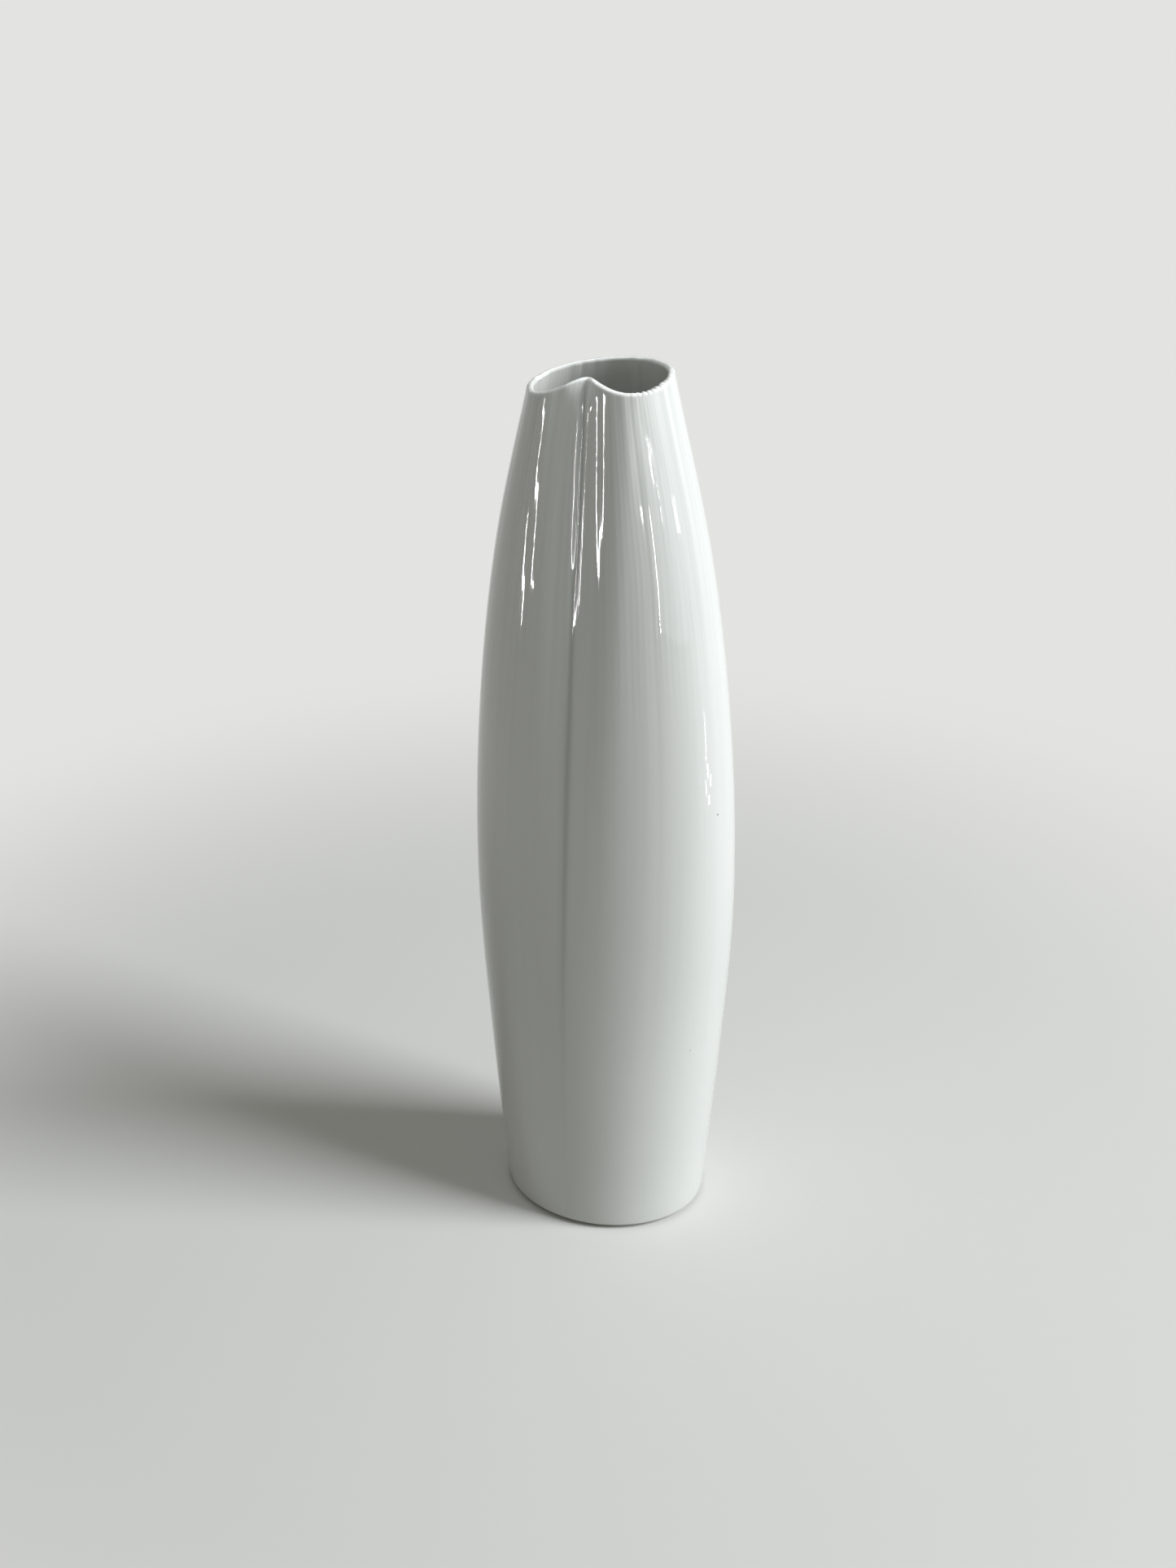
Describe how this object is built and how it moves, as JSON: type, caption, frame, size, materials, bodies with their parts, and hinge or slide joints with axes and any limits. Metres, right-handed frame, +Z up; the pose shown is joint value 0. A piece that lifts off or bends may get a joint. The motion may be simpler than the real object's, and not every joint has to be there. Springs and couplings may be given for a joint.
{
  "type": "vase",
  "caption": "Tall white glazed porcelain vase with a flattened oval body, a small slanting mouth and one soft fold pinched down its front; it holds stems and water.",
  "frame": {"origin": "on the ground under the middle of the foot", "axes": "+Z up through the mouth, X along the broad side, -Y towards the side with the fold"},
  "size_m": [0.0916, 0.0637, 0.3],
  "materials": {
    "white_glaze": "clear gloss glaze over white porcelain",
    "bare_porcelain": "bare, ground smooth and matt"
  },
  "bodies": {
    "root": {"vase_wall": "white_glaze", "vase_floor": "white_glaze", "foot_ring": "bare_porcelain"}
  },
  "joints": []
}
